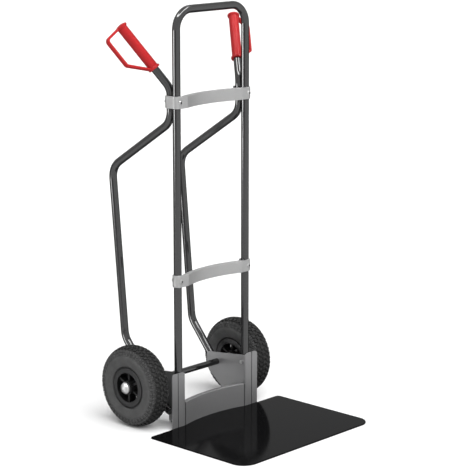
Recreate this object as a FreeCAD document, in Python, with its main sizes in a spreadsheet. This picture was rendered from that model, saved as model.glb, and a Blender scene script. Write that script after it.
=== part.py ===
"""Hand truck with a hooped tube frame, two bent skid tubes with guarded grips and two pneumatic wheels.

Frame of the part: +X to the right seen from the front, +Y back, +Z up, in millimetres.
The origin is on the floor, midway between the two uprights and straight below their axes.
"""
import FreeCAD, Part
import math
import os
import re
import Sketcher

Vector = FreeCAD.Vector

# Driving dimensions: name, value, meaning
SIZES = [
    # tubes
    ("tube_diameter", 25.0, "outside diameter of every tube"),
    ("tube_wall", 2.0, "wall of every tube"),
    ("post_half_gap", 153.0, "middle plane to the axis of an upright"),
    ("hoop_height", 1308.0, "axis of the hoop's top bar above the floor"),
    ("hoop_radius", 60.0, "bend radius of the hoop, on the axis"),
    ("post_foot", 7.0, "lower end of the uprights"),
    ("skid_radius", 60.0, "bend radius of the skid tubes, on the axis"),
    ("skid_end_back", 38.0, "skid tube's lower end, behind the uprights"),
    ("skid_end_height", 42.0, "skid tube's lower end, above the floor"),
    ("skid_toe_back", 86.0, "corner below the axle"),
    ("skid_toe_height", 65.0, "corner below the axle"),
    ("skid_heel_back", 240.0, "corner behind the wheel"),
    ("skid_heel_height", 250.0, "corner behind the wheel"),
    ("skid_back", 289.0, "rearmost corner"),
    ("skid_back_height", 796.0, "rearmost corner"),
    ("skid_neck_height", 966.0, "corner where the tube meets the upright"),
    ("skid_neck_back", 25.5, "axis of the tube behind the axis of the upright"),
    ("handle_bend_height", 1069.0, "corner where the handle turns outwards"),
    ("handle_tip_side", 250.7, "top of the grip from the middle plane"),
    ("handle_tip_back", 142.9, "top of the grip behind the uprights"),
    ("handle_tip_height", 1261.1, "top of the grip above the floor"),
    # crossbars
    ("upper_bar_height", 1029.0, "middle of the upper crossbar above the floor"),
    ("lower_bar_height", 472.0, "middle of the lower crossbar above the floor"),
    ("bar_tall", 38.0, "height of a crossbar"),
    ("bar_depth", 15.0, "depth of a crossbar between the uprights"),
    ("bar_wall", 3.0, "wall of the crossbar's channel"),
    ("bar_round", 1.6, "rounding of the crossbar's outer edges"),
    ("bar_throat", 3.0, "solid part of a crossbar between the tube and the bow"),
    ("bar_solid_end", 6.0, "solid length left at each end of the crossbar's channel"),
    ("bar_bow", 21.5, "how far the middle of a crossbar stands back"),
    ("bar_bow_half_width", 121.0, "where the bow starts, from the middle plane"),
    ("clamp_wall", 4.0, "wall of the crossbar's hook around the tubes"),
    ("clamp_lip_side", 142.0, "end of the hook's rear lip, from the middle plane"),
    # cheek plates
    ("sheet", 3.0, "thickness of the cheek plates and the kick panel"),
    ("cheek_side", 137.5, "inner face of a cheek's web, from the middle plane"),
    ("cheek_outer_side", 195.5, "outer edge of a cheek's front flange"),
    ("cheek_front", 15.5, "front face of a cheek, ahead of the uprights' axes"),
    ("cheek_top", 180.0, "top of a cheek's front flange"),
    ("cheek_foot", 4.0, "lower edge of a cheek"),
    ("cheek_shoulder", 175.0, "top of the web at its front"),
    ("cheek_back", 156.0, "rear edge of the web"),
    ("cheek_back_top", 157.0, "top of the web at its rear"),
    ("cheek_heel_height", 125.0, "where the rear edge starts to curve"),
    ("cheek_heel_radius", 50.0, "radius of that curve"),
    ("cheek_heel_turn", 52.0, "angle of that curve, in degrees"),
    ("cheek_foot_back", 56.0, "rear end of the web's lower edge"),
    ("cheek_corner", 12.0, "radius of the cheek's free corners"),
    ("overlap", 1.0, "how far joined shapes run into each other"),
    ("cheek_bend", 5.0, "outer radius of the bend between web and flange"),
    ("groove_side", 169.5, "pressed groove in the flange, from the middle plane"),
    ("groove_half_width", 1.6, "half the width of the groove"),
    ("groove_deep", 2.1, "depth of the groove"),
    ("foot_tab_width", 29.5, "width of the cheek's foot tab"),
    ("foot_tab_front", 10.0, "front edge of the foot tab"),
    ("foot_tab_back", 54.0, "rear edge of the foot tab"),
    ("toe_screw_in", 14.5, "toe plate screws from the inner face of the cheek's web"),
    ("toe_screw_front", 22.0, "front toe plate screw"),
    ("toe_screw_rear", 42.0, "rear toe plate screw"),
    # kick panel
    ("kick_top", 80.0, "top of the kick panel"),
    ("kick_bow", 19.5, "how far the middle of the kick panel stands back"),
    ("kick_end_front", 15.0, "front of the kick panel at its ends"),
    ("kick_rim", 14.0, "depth of the kick panel's top rim"),
    ("kick_rim_round", 2.4, "rounding of the rim's front edge"),
    ("kick_tab_back", 26.0, "rear edge of the kick panel's end tabs"),
    ("kick_tab_short", 16.0, "how much lower the end tabs are than the panel"),
    ("rivet_back", 18.0, "rivets of the end tabs"),
    ("rivet_low", 25.0, "lower rivet"),
    ("rivet_high", 60.0, "upper rivet"),
    # toe plate
    ("toe_half_width", 297.6, "half the width of the toe plate"),
    ("toe_front", 416.8, "front edge ahead of the uprights' axes"),
    ("toe_back", 17.0, "rear edge of the toe plate's wings"),
    ("toe_thick", 4.0, "thickness of the toe plate"),
    ("toe_front_radius", 48.0, "front corners"),
    ("toe_back_radius", 12.0, "rear corners"),
    ("toe_edge_radius", 1.0, "rounding of the toe plate's upper edge"),
    ("toe_tongue_back", 60.0, "rear end of the tongue under the cheeks"),
    ("toe_tongue_gap", 1.0, "tongue's edge inside the cheek's web"),
    # axle and wheels
    ("axle_diameter", 20.0, "axle"),
    ("axle_half_length", 284.0, "half the length of the axle"),
    ("axle_back", 110.0, "axle behind the uprights' axes"),
    ("axle_height", 130.0, "axle above the floor, the radius of the wheels"),
    ("axle_chamfer", 1.0, "chamfer at the axle's ends"),
    ("wheel_half_track", 235.6, "middle plane to the middle of a wheel"),
    ("end_gap", 0.2, "gap between pieces that turn against each other"),
    ("tyre_side_radius", 53.0, "curve of the tyre's sidewall, which makes it 79 mm wide"),
    ("tyre_shoulder_radius", 120.0, "radius of the wheel at the tyre's shoulder"),
    ("tyre_shoulder_side", 31.0, "shoulder from the middle of the wheel"),
    ("tyre_cavity", 34.0, "radius of the space for the inner tube"),
    ("tyre_cavity_centre", 88.0, "circle of that space's middle"),
    ("bead_toe", 22.0, "inner edge of the tyre's bead from the middle of the wheel"),
    ("bead_side", 30.3, "outer face of the tyre's bead from the middle of the wheel"),
    ("bead_gap", 0.3, "gap between the bead and its seat"),
    ("bead_foot_radius", 63.3, "radius of the wheel at the top of the bead's outer face"),
    ("side_foot", 33.5, "foot of the sidewall from the middle of the wheel"),
    ("side_foot_radius", 66.5, "radius of the wheel at the foot of the sidewall"),
    ("tube_gap", 0.5, "gap between the inner tube and the tyre"),
    ("inner_tube_wall", 1.7, "wall of the inner tube"),
    ("rim_flange_radius", 62.5, "outside radius of the rim's flange"),
    ("rim_flange_side", 34.0, "outer face of the rim's flange"),
    ("rim_seat_radius", 50.8, "bead seat, for a four inch rim"),
    ("rim_wall", 4.0, "wall of the rim"),
    ("rim_flange_thick", 3.5, "thickness of the rim's flange"),
    ("rim_disc", 5.0, "thickness of the rim's disc"),
    ("rib_count", 6.0, "ribs in a rim half"),
    ("rib_thick", 6.0, "thickness of a rib"),
    ("rib_reach", 27.0, "outer edge of the ribs from the middle of the wheel"),
    ("hub_half_length", 37.5, "half the length of the hub"),
    ("hub_radius", 22.0, "outside radius of the hub"),
    ("hub_bore", 16.0, "bore radius of the rim halves"),
    ("roller_count", 8.0, "rollers in a hub"),
    ("roller_radius", 1.98, "radius of a roller"),
    ("roller_circle", 12.04, "circle of the rollers' axes"),
    ("roller_long", 56.0, "length of a roller"),
    ("roller_gap", 0.1, "gap between a roller and its window in the cage"),
    ("sleeve_bore", 14.1, "bore radius of the steel sleeve"),
    ("cage_inner", 10.7, "bore radius of the roller cage"),
    ("cage_outer", 13.4, "outside radius of the roller cage"),
    ("cage_half_length", 34.0, "half the length of the roller cage"),
    ("rim_bolt_circle", 35.0, "circle of the rim bolts"),
    ("valve_side", 15.0, "valve's place in the rim from the middle of the wheel"),
    ("valve_angle", 45.0, "valve's place round the rim, in degrees"),
    ("valve_bend_radius", 40.5, "distance of the valve's end from the axle"),
    ("valve_radius", 3.2, "valve stem"),
    ("valve_gap", 0.2, "gap between the valve stem and its hole"),
    ("valve_cap_wall", 0.9, "wall of the valve's cap"),
    ("valve_cap_long", 8.4, "length of the valve's cap"),
    ("valve_cap_round", 0.8, "rounding of the valve's cap"),
    ("cap_radius", 18.0, "axle cap"),
    ("cap_rim", 4.0, "straight part of the axle cap"),
    ("cap_tip_side", 290.0, "outer end of the axle cap"),
    ("washer_thick", 2.4, "thrust washer"),
    ("washer_radius", 17.0, "thrust washer"),
    ("collar_long", 13.0, "stop collar"),
    ("collar_radius", 16.0, "stop collar"),
    ("grub_long", 5.7, "grub screw of a stop collar"),
    ("grub_gap", 0.1, "gap between the grub screw and the axle"),
    # grips
    ("grip_long", 169.5, "length of a grip"),
    ("grip_radius", 15.8, "handle part of a grip"),
    ("grip_collar_radius", 19.3, "collars at both ends of a grip"),
    ("grip_collar", 5.0, "length of a collar"),
    ("grip_crown", 6.0, "closed end of a grip, from the tube's end to the tip"),
    ("grip_crown_round", 4.8, "height of the dome on a grip's closed end"),
    ("grip_crown_step", 4.0, "upper collar below the tip"),
    ("grip_neck", 3.4, "length over which a collar narrows to the handle"),
    ("grip_neck_radius", 4.0, "radius of that hollow"),
    ("grip_collar_round", 1.2, "rounding of the grip's end edges"),
    ("guard_root", 12.8, "where the guard starts, inside the handle"),
    ("guard_root_low", 0.2, "lower outer corner of the guard's root along the grip"),
    ("guard_root_high", 166.0, "upper outer corner of the guard's root along the grip"),
    ("window_root", 9.8, "where the finger gap starts, inside the handle"),
    ("window_root_low", 5.8, "lower inner corner of the finger gap"),
    ("window_root_high", 158.0, "upper inner corner of the finger gap"),
    ("guard_bend_high", 17.0, "outer radius of the guard's upper corner"),
    ("guard_bend_low", 12.0, "outer radius of the guard's lower corner"),
    ("guard_reach", 77.0, "outer face of the knuckle guard from the grip's axis"),
    ("guard_strap", 7.5, "thickness of the guard's strap"),
    ("guard_wide", 15.0, "width of the guard's strap"),
    ("guard_edge_radius", 1.6, "rounding of the strap's edges"),
    ("guard_low", 59.4, "lower corner of the guard along the grip"),
    ("guard_high", 160.6, "upper corner of the guard along the grip"),
    ("window_low", 62.6, "lower corner of the finger gap"),
    ("window_high", 153.3, "upper corner of the finger gap"),
    ("bore_gap", 0.05, "clearance of a tube or shaft in a bore"),
    # fasteners
    ("small_thread", 6.0, "M6 shank"),
    ("small_flats", 10.0, "M6 nut and hex head across the flats"),
    ("small_nut", 5.0, "M6 nut height"),
    ("large_thread", 8.0, "M8 shank"),
    ("large_flats", 13.0, "M8 nut across the flats"),
    ("large_nut", 6.5, "M8 nut height"),
    ("countersink", 3.6, "depth of the countersinks in the toe plate"),
    ("flat_head_radius", 7.2, "head of a toe plate screw"),
    ("flat_head_deep", 3.3, "depth of that head"),
    ("flat_head_edge", 0.1, "straight edge of that head"),
    ("flat_socket", 2.9, "corner radius of its hex socket"),
    ("flat_socket_deep", 2.3, "depth of its hex socket"),
    ("toe_screw_long", 16.0, "toe plate screw"),
    ("hex_head", 4.0, "height of a hex bolt's head"),
    ("cheek_bolt_long", 36.0, "bolts through the cheeks and the tubes"),
    ("rim_bolt_long", 17.0, "bolts through the rim halves"),
    ("rivet_radius", 2.45, "hole for a rivet"),
    ("rivet_shank", 2.4, "radius of a rivet's shank"),
    ("rivet_set_radius", 3.4, "radius of a rivet's set end"),
    ("rivet_set_tall", 2.0, "height of a rivet's set end"),
    ("rivet_head", 4.5, "radius of a rivet's head"),
    ("rivet_dome", 1.8, "height of a rivet's head"),
    ("plug_head", 2.0, "head of a tube plug"),
    ("plug_long", 8.0, "insert of a tube plug"),
    ("button_radius", 6.8, "button head of the crossbar screws"),
    ("button_tall", 3.4, "button head of the crossbar screws"),
    ("button_edge", 0.8, "straight edge of the button head"),
    ("button_socket", 2.3, "corner radius of its hex socket"),
    ("thread_end", 2.0, "length of a crossbar screw beyond its nut"),
    ("cheek_bolt_high", 150.0, "upper bolt of a cheek and its upright"),
    ("cheek_bolt_low", 40.0, "lower bolt of a cheek and its upright"),
    ("skid_bolt_back", 50.0, "bolt of the skid tube"),
    ("skid_bolt_height", 47.5, "bolt of the skid tube"),
]
ALIASES = {name for name, _, _ in SIZES}
SIDES = (("left", -1), ("right", 1))
DOWN = Vector(0, 0, -1)
SMALL_HOLE = "small_thread / 2 + bore_gap"
LARGE_HOLE = "large_thread / 2 + bore_gap"

doc = FreeCAD.newDocument("hand_truck")
sizes = doc.addObject("Spreadsheet::Sheet", "Sizes")
for row, (name, number, meaning) in enumerate(SIZES, start=1):
    sizes.set(f"A{row}", meaning)
    sizes.set(f"B{row}", str(number))
    sizes.setAlias(f"B{row}", name)
doc.recompute()

nodes = []      # every object that is exported, in order


# ---------------------------------------------------------------- helpers

def bound(text):
    """The expression text with every alias pointing at the sheet."""
    def link(match):
        word = match.group()
        return f"Sizes.{word}" if word in ALIASES else word
    return re.sub(r"[a-z_]+", link, str(text))


def value(text):
    """The number that an expression on the sheet gives now."""
    return float(sizes.evalExpression(str(text)))


def bind(target, **properties):
    """Bind properties of an object to expressions on the sheet."""
    for name, text in properties.items():
        target.setExpression(name, bound(text))


def place(target, x="0", y="0", z="0"):
    """Bind the position of an object to the sheet."""
    for axis, text in zip("xyz", (x, y, z)):
        target.setExpression(f"Placement.Base.{axis}", bound(text))


def new_body(label, export=True):
    body = doc.addObject("PartDesign::Body", label)
    body.Label = label
    if export:
        nodes.append(body)
    return body


def origin_feature(body, role):
    return next(item for item in body.Origin.OriginFeatures if item.Role == role)


def new_sketch(body, name, plane, offset="0"):
    """A sketch on one of the body's own origin planes, moved along the plane's normal."""
    sketch = body.newObject("Sketcher::SketchObject", name)
    sketch.AttachmentSupport = [(origin_feature(body, plane), "")]
    sketch.MapMode = "FlatFace"
    sketch.setExpression("AttachmentOffset.Base.z", bound(offset))
    return sketch


def pin(sketch, kind, geometry, point, text):
    """Hold a point's x or y at a value from the sheet."""
    index = sketch.addConstraint(Sketcher.Constraint(kind, -1, 1, geometry, point, value(text)))
    label = f"{kind}_{geometry}_{point}"
    sketch.renameConstraint(index, label)
    sketch.setExpression(f"Constraints.{label}", bound(text))


def set_radius(sketch, geometry, text):
    index = sketch.addConstraint(Sketcher.Constraint("Radius", geometry, value(text)))
    label = f"Radius_{geometry}"
    sketch.renameConstraint(index, label)
    sketch.setExpression(f"Constraints.{label}", bound(text))


def draw(sketch, corners, side=1, closed=True):
    """Draw an outline through corners (x, y) or (x, y, radius).

    A radius makes the stretch to the next corner an arc: positive with its centre to the left
    of the way along the outline, negative to the right. side=-1 mirrors the outline in x.
    """
    points = [Vector(side * value(c[0]), value(c[1]), 0) for c in corners]
    count = len(corners)
    ends = []
    for index in range(count if closed else count - 1):
        start = points[index]
        stop = points[(index + 1) % count]
        if len(corners[index]) == 3:
            radius = side * value(corners[index][2])
            chord = stop - start
            left = Vector(-chord.y, chord.x, 0).normalize() * math.copysign(1, radius)
            centre = (start + stop) * 0.5 + left * math.sqrt(radius ** 2 - chord.Length ** 2 / 4)
            middle = centre - left * abs(radius)
            geometry = sketch.addGeometry(Part.Arc(start, middle, stop), False)
            ends.append((geometry, 1, 2) if radius > 0 else (geometry, 2, 1))
        else:
            geometry = sketch.addGeometry(Part.LineSegment(start, stop), False)
            ends.append((geometry, 1, 2))
    for index, (geometry, first, last) in enumerate(ends):
        pin(sketch, "DistanceX", geometry, first, f"{side} * ({corners[index][0]})")
        pin(sketch, "DistanceY", geometry, first, corners[index][1])
        if len(corners[index]) == 3:
            set_radius(sketch, geometry, f"abs({corners[index][2]})")
        if closed or index + 1 < len(ends):
            following, next_first, _ = ends[(index + 1) % len(ends)]
            sketch.addConstraint(Sketcher.Constraint("Coincident", geometry, last, following, next_first))
    if not closed:
        geometry, _, last = ends[-1]
        pin(sketch, "DistanceX", geometry, last, f"{side} * ({corners[-1][0]})")
        pin(sketch, "DistanceY", geometry, last, corners[-1][1])


def draw_circles(sketch, circles):
    """Draw circles (x, y, radius)."""
    for x, y, radius in circles:
        circle = Part.Circle(Vector(value(x), value(y), 0), Vector(0, 0, 1), value(radius))
        geometry = sketch.addGeometry(circle, False)
        pin(sketch, "DistanceX", geometry, 3, x)
        pin(sketch, "DistanceY", geometry, 3, y)
        set_radius(sketch, geometry, radius)


def pad(body, sketch, length, both_sides=False):
    feature = body.newObject("PartDesign::Pad", f"{sketch.Name}_pad")
    feature.Profile = sketch
    feature.Midplane = both_sides
    bind(feature, Length=length)
    return feature


def pocket(body, sketch, length=None):
    """Cut through everything, both ways from the sketch, or length in all about its plane."""
    feature = body.newObject("PartDesign::Pocket", f"{sketch.Name}_pocket")
    feature.Profile = sketch
    feature.Midplane = True
    if length is None:
        feature.Type = "ThroughAll"
    else:
        bind(feature, Length=length)
    return feature


def revolve(body, sketch, axis="H_Axis"):
    feature = body.newObject("PartDesign::Revolution", f"{sketch.Name}_turned")
    feature.Profile = sketch
    feature.ReferenceAxis = (sketch, [axis])
    feature.Angle = 360
    return feature


def repeat_around(body, feature, axis_role, count):
    """Repeat a feature evenly around one of the body's own axes."""
    pattern = body.newObject("PartDesign::PolarPattern", f"{feature.Name}_around")
    pattern.Originals = [feature]
    pattern.Axis = (origin_feature(body, axis_role), [""])
    pattern.Angle = 360
    bind(pattern, Occurrences=count)
    body.Tip = pattern
    return pattern


def dress_edges(kind, body, base, wanted, **properties):
    """Fillet or Chamfer the base feature's edges whose middle passes the test wanted(point, edge)."""
    doc.recompute()
    names = []
    for number, edge in enumerate(base.Shape.Edges, start=1):
        if edge.Degenerated:
            continue
        middle = edge.valueAt((edge.FirstParameter + edge.LastParameter) / 2)
        if wanted(middle, edge):
            names.append(f"Edge{number}")
    feature = body.newObject(f"PartDesign::{kind}", f"{base.Name}_{kind.lower()}")
    feature.Base = (base, names)
    bind(feature, **properties)
    return feature


def near(number, text):
    """True where a coordinate is at the value of an expression."""
    return abs(number - value(text)) < 0.05


def circle_radius(edge):
    """The radius of a round edge, or 0 for any other edge."""
    if edge.Degenerated or not isinstance(edge.Curve, Part.Circle):
        return 0
    return edge.Curve.Radius


def add_group(label, pieces):
    """One node that holds several separate solids."""
    group = doc.addObject("Part::Feature", label)
    group.Label = label
    group.Shape = Part.makeCompound(pieces)
    nodes.append(group)
    return group


def copy_to(master, position, direction):
    """A copy of a master's shape with its own +Z turned to a direction."""
    turn = FreeCAD.Rotation(Vector(0, 0, 1), direction)
    shape = master.Shape.copy()
    shape.Placement = FreeCAD.Placement(position, turn).multiply(master.Placement)
    return shape


def mirrored(corners):
    """The mirror image of an outline in x, walked on from its last corner back to its first."""
    result = []
    for index in reversed(range(len(corners))):
        x, y = corners[index][:2]
        arc = corners[index - 1][2:] if index > 0 else ()
        result.append((f"0 - ({x})", y) + arc)
    return result


def at(x, y, z):
    """A point from three expressions."""
    return Vector(value(x), value(y), value(z))


# ---------------------------------------------------------------- fastener masters

def primitive(kind, name, z="0", **properties):
    solid = doc.addObject(f"Part::{kind}", name)
    bind(solid, **properties)
    place(solid, z=z)
    return solid


def combine(kind, name, base, tool):
    result = doc.addObject(f"Part::{kind}", name)
    result.Base = base
    result.Tool = tool
    return result


def hexagon(name, flats, height, z="0"):
    solid = primitive("Prism", name, z, Circumradius=f"{flats} / 2 / cos(30)", Height=height)
    solid.Polygon = 6
    return solid


def make_nut(name, flats, height, thread):
    """Hex nut that stands on the origin and rises along +Z."""
    outside = hexagon(f"{name}_hex", flats, height)
    hole = primitive("Cylinder", f"{name}_hole", Radius=f"{thread} / 2 + bore_gap", Height=height)
    return combine("Cut", name, outside, hole)


def make_hex_bolt(name, flats, head, thread, length):
    """Hex bolt: the head rises from the origin along +Z and the shank goes down."""
    top = hexagon(f"{name}_head", flats, head)
    shank = primitive("Cylinder", f"{name}_shank", f"0 - {length}", Radius=f"{thread} / 2",
                      Height=f"{length} + {head} / 2")
    return combine("Fuse", name, top, shank)


def cut_socket(body, level, corner, deep):
    """Cut a hex socket down from a level on the body's own Z axis."""
    socket = new_sketch(body, f"{body.Label}_socket", "XY_Plane", level)
    draw(socket, [(f"{corner} * cos({60 * turn})", f"{corner} * sin({60 * turn})") for turn in range(6)])
    pocket(body, socket, f"2 * {deep}")


def make_button_screw(name, length):
    """Button head screw with a hex socket."""
    body = new_body(name, export=False)
    profile = new_sketch(body, f"{name}_profile", "XZ_Plane")
    draw(profile, [("0", f"0 - {length}"), ("small_thread / 2", f"0 - {length}"),
                   ("small_thread / 2", "0"), ("button_radius", "0"),
                   ("button_radius", "button_edge", "button_radius * 1.25"),
                   ("button_radius * 0.35", "button_tall"), ("0", "button_tall")])
    revolve(body, profile, "V_Axis")
    cut_socket(body, "button_tall", "button_socket", "button_tall * 0.6")
    return body


def make_flat_screw(name, length):
    """Countersunk screw: its flat head is at the origin and the shank goes down."""
    body = new_body(name, export=False)
    profile = new_sketch(body, f"{name}_profile", "XZ_Plane")
    draw(profile, [("0", f"0 - {length}"), ("large_thread / 2", f"0 - {length}"),
                   ("large_thread / 2", "0 - flat_head_deep"), ("flat_head_radius", "0 - flat_head_edge"),
                   ("flat_head_radius", "0"), ("0", "0")])
    revolve(body, profile, "V_Axis")
    cut_socket(body, "0", "flat_socket", "flat_socket_deep")
    return body


def make_rivet(name, grip_length):
    """Blind rivet with a low domed head at the origin, set on the far side."""
    body = new_body(name, export=False)
    profile = new_sketch(body, f"{name}_profile", "XZ_Plane")
    far = f"0 - {grip_length}"
    draw(profile, [("0", f"{far} - rivet_set_tall"), ("rivet_set_radius", f"{far} - rivet_set_tall"),
                   ("rivet_set_radius", far), ("rivet_shank", far), ("rivet_shank", "0"),
                   ("rivet_head", "0", "(rivet_head ^ 2 + rivet_dome ^ 2) / 2 / rivet_dome"),
                   ("0", "rivet_dome")])
    revolve(body, profile, "V_Axis")
    return body


# ---------------------------------------------------------------- tubes

def bent_wire(corners, radius):
    """Straight runs joined by tangent arcs, with an arc at every inner corner."""
    edges = []
    start = corners[0]
    for index in range(1, len(corners) - 1):
        corner = corners[index]
        back = (corners[index - 1] - corner).normalize()
        ahead = (corners[index + 1] - corner).normalize()
        half = back.getAngle(ahead) / 2
        reach = radius / math.tan(half)
        to_centre = (back + ahead).normalize()
        middle = corner + to_centre * (radius / math.sin(half) - radius)
        first = corner + back * reach
        last = corner + ahead * reach
        edges.append(Part.LineSegment(start, first).toShape())
        edges.append(Part.Arc(first, middle, last).toShape())
        start = last
    edges.append(Part.LineSegment(start, corners[-1]).toShape())
    return Part.Wire(edges)


def swept_round(path, radius):
    """A solid of round section along a path."""
    edge = path.Edges[0]
    start = edge.valueAt(edge.FirstParameter)
    circle = Part.Circle(start, edge.tangentAt(edge.FirstParameter), radius)
    return path.makePipeShell([Part.Wire(circle.toShape())], True, False)


def drill(shape, position, direction, radius, length):
    """Cut a round hole that runs both ways from a position."""
    start = position - direction * (length / 2)
    return shape.cut(Part.makeCylinder(radius, length, start, direction))


def handle_line(side):
    """The handle's bend and tip, and its direction, on one side."""
    bend = at(f"{side} * post_half_gap", "skid_neck_back", "handle_bend_height")
    tip = at(f"{side} * handle_tip_side", "handle_tip_back", "handle_tip_height")
    return bend, tip, (tip - bend).normalize()


def make_front_frame():
    """The hoop: two uprights and the top bar, bent from one tube."""
    body = new_body("front_frame")
    path = new_sketch(body, "hoop_path", "XZ_Plane")
    draw(path, [("0 - post_half_gap", "post_foot"),
                ("0 - post_half_gap", "hoop_height - hoop_radius", "0 - hoop_radius"),
                ("hoop_radius - post_half_gap", "hoop_height"),
                ("post_half_gap - hoop_radius", "hoop_height", "0 - hoop_radius"),
                ("post_half_gap", "hoop_height - hoop_radius"),
                ("post_half_gap", "post_foot")], closed=False)
    ring = new_sketch(body, "hoop_ring", "XY_Plane", "post_foot")
    draw_circles(ring, [("0 - post_half_gap", "0", "tube_diameter / 2"),
                        ("0 - post_half_gap", "0", "tube_diameter / 2 - tube_wall")])
    pipe = body.newObject("PartDesign::AdditivePipe", "hoop_pipe")
    pipe.Profile = ring
    pipe.Spine = path
    crossbar_holes = new_sketch(body, "crossbar_holes", "XZ_Plane")
    draw_circles(crossbar_holes, [(f"{side} * post_half_gap", height, SMALL_HOLE) for _, side in SIDES
                                  for height in ("upper_bar_height", "lower_bar_height")])
    pocket(body, crossbar_holes, "tube_diameter * 2")
    cheek_holes = new_sketch(body, "cheek_holes", "YZ_Plane")
    draw_circles(cheek_holes, [("0", height, SMALL_HOLE) for height in ("cheek_bolt_low", "cheek_bolt_high")])
    pocket(body, cheek_holes)


def make_skid_tube(name, side):
    """One tube from the cheek, round behind the wheel and up to the handle."""
    bend, tip, along = handle_line(side)
    tube_end = tip - along * value("grip_crown")
    corners = [at(f"{side} * post_half_gap", back, height) for back, height in (
        ("skid_end_back", "skid_end_height"), ("skid_toe_back", "skid_toe_height"),
        ("skid_heel_back", "skid_heel_height"), ("skid_back", "skid_back_height"),
        ("skid_neck_back", "skid_neck_height"), ("skid_neck_back", "handle_bend_height"))]
    path = bent_wire(corners + [tube_end], value("skid_radius"))
    shape = swept_round(path, value("tube_diameter / 2")).cut(
        swept_round(path, value("tube_diameter / 2 - tube_wall")))
    hole = value(SMALL_HOLE)
    length = value("tube_diameter * 2")
    for position, direction in (
            (at(f"{side} * post_half_gap", "skid_neck_back", "upper_bar_height"), Vector(0, 1, 0)),
            (at(f"{side} * post_half_gap", "skid_bolt_back", "skid_bolt_height"), Vector(1, 0, 0))):
        shape = drill(shape, position, direction, hole, length)
    tube = doc.addObject("Part::Feature", name)
    tube.Label = name
    tube.Shape = shape
    nodes.append(tube)


# ---------------------------------------------------------------- crossbars

def make_crossbar(label, height, reach):
    """A channel that bows back between the uprights and hooks round the tubes at both ends.

    reach is the distance from the upright's axis to the axis of the last tube in the hook.
    """
    inner = "tube_diameter / 2"
    outer = f"({inner} + clamp_wall)"
    bow = "((bar_bow_half_width ^ 2 + bar_bow ^ 2) / (2 * bar_bow))"
    centre = f"(bar_bow - {outer} - {bow})"
    throat = f"(post_half_gap - {inner} - bar_throat)"
    right = [
        ("bar_bow_half_width", f"0 - {outer}"),
        ("post_half_gap", f"0 - {outer}", outer),
        (f"post_half_gap + {outer}", "0"),
        (f"post_half_gap + {outer}", reach, outer),
        ("post_half_gap", f"{reach} + {outer}"),
        ("clamp_lip_side", f"{reach} + {outer}"),
        ("clamp_lip_side", f"{reach} + {inner}"),
        ("post_half_gap", f"{reach} + {inner}", f"0 - {inner}"),
        (f"post_half_gap + {inner}", reach),
        (f"post_half_gap + {inner}", "0", f"0 - {inner}"),
        ("post_half_gap", f"0 - {inner}"),
        (throat, f"0 - {inner}"),
        (throat, f"{centre} + sqrt(({bow} + bar_depth) ^ 2 - {throat} ^ 2)", f"{bow} + bar_depth"),
    ]
    if reach == "0":
        right = [corner for corner in right if corner[1] != reach or len(corner) == 3]
    left = mirrored(right)
    left[-1] += (f"0 - {bow}",)
    body = new_body(label)
    plan = new_sketch(body, f"{label}_plan", "XY_Plane", height)
    draw(plan, right + left)
    pad(body, plan, "bar_tall", both_sides=True)
    channel = new_sketch(body, f"{label}_channel", "XY_Plane", height)
    web = f"({bow} + bar_wall)"
    end = "(bar_bow_half_width - bar_solid_end)"
    front = f"{centre} + sqrt({web} ^ 2 - {end} ^ 2)"
    draw(channel, [(f"0 - {end}", front, f"0 - {web}"), (end, front),
                   (end, "bar_bow + bar_depth"), (f"0 - {end}", "bar_bow + bar_depth")])
    pocket(body, channel, "bar_tall - 2 * bar_wall")
    holes = new_sketch(body, f"{label}_holes", "XZ_Plane")
    draw_circles(holes, [(f"{side} * post_half_gap", height, SMALL_HOLE) for _, side in SIDES])
    drilled = pocket(body, holes)
    rim = value(f"{height} + bar_tall / 2"), value(f"{height} - bar_tall / 2")

    def front_edge(point, edge):
        level = min(abs(point.z - z) for z in rim) < 0.05
        ahead = point.y < value(f"0 - {outer}") + 0.05 or abs(point.x) < 1 and point.y < value("bar_bow")
        return level and (ahead or abs(point.x) > value(f"post_half_gap + {inner}") + 0.1)

    dress_edges("Fillet", body, drilled, front_edge, Radius="bar_round")


# ---------------------------------------------------------------- cheek plates, kick panel, toe plate

RIVET_SPOTS = [("rivet_back", "rivet_low"), ("rivet_back", "rivet_high")]
TOE_SCREW_SPOTS = [("cheek_side - toe_screw_in", y) for y in ("toe_screw_front", "toe_screw_rear")]


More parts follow.
